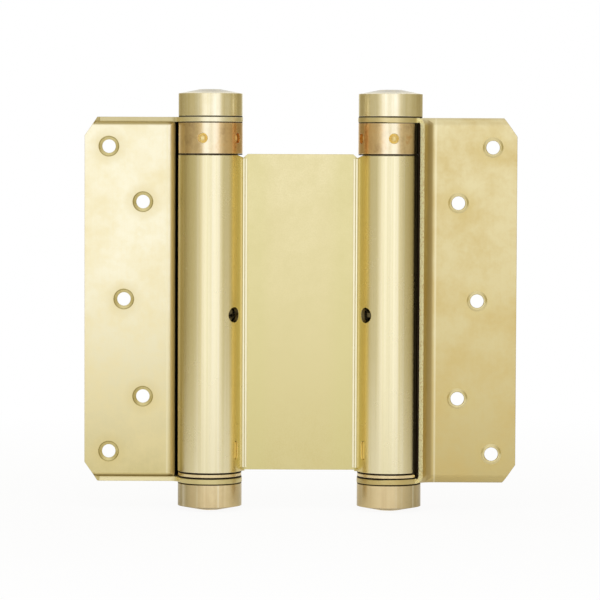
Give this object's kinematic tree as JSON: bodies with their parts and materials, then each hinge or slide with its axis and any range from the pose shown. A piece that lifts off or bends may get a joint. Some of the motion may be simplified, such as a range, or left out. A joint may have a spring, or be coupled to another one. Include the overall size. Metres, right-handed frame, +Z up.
{
  "type": "double action spring hinge",
  "caption": "Double action sprung hinge for a cafe door, opened out flat: two pressed leaves on capped pintles, joined by a rolled web with a sprung barrel at each side.",
  "frame": {"origin": "middle of the hinge opened out flat: halfway between the barrel axes and at half the height of the leaves", "axes": "+X across the hinge from the left leaf to the right one, +Y from the front to the back, +Z up along the barrels towards the tension collars"},
  "size_m": [0.1472, 0.022, 0.1432],
  "materials": {
    "brass_sheet": "plated and lightly brushed",
    "brass_turned": "plated, bright",
    "brass_mottled": "plated, mottled and coppery",
    "bright_steel": "turned, plain",
    "spring_steel": "oiled, dark"
  },
  "bodies": {
    "jamb_leaf": {"left_leaf": "brass_sheet", "left_pintle": "bright_steel", "left_top_cap": "brass_turned", "left_bottom_cap": "brass_turned", "left_thrust_washer": "brass_mottled"},
    "double_barrel": {"web_barrels": "brass_sheet", "left_spring": "spring_steel", "right_spring": "spring_steel", "left_spring_anchor": "bright_steel", "right_spring_anchor": "bright_steel"},
    "door_leaf": {"right_leaf": "brass_sheet", "right_pintle": "bright_steel", "right_top_cap": "brass_turned", "right_bottom_cap": "brass_turned", "right_thrust_washer": "brass_mottled"},
    "left_collar": {"left_tension_collar": "brass_mottled"},
    "right_collar": {"right_tension_collar": "brass_mottled"}
  },
  "joints": [
    {"name": "jamb_hinge", "type": "hinge", "parent": "jamb_leaf", "child": "double_barrel", "pos_m": [-0.03062, 0, 0], "axis": [0, 0, 1], "range_deg": [-180, 135]},
    {"name": "door_hinge", "type": "hinge", "parent": "double_barrel", "child": "door_leaf", "pos_m": [0.03062, 0, 0], "axis": [0, 0, 1], "range_deg": [-135, 180]},
    {"name": "left_tension", "type": "hinge", "parent": "double_barrel", "child": "left_collar", "pos_m": [-0.03062, 0, 0], "axis": [0, 0, 1], "range_deg": [-216, 0], "deforming": ["left_spring"]},
    {"name": "right_tension", "type": "hinge", "parent": "double_barrel", "child": "right_collar", "pos_m": [0.03062, 0, 0], "axis": [0, 0, 1], "range_deg": [-216, 0], "deforming": ["right_spring"]}
  ]
}
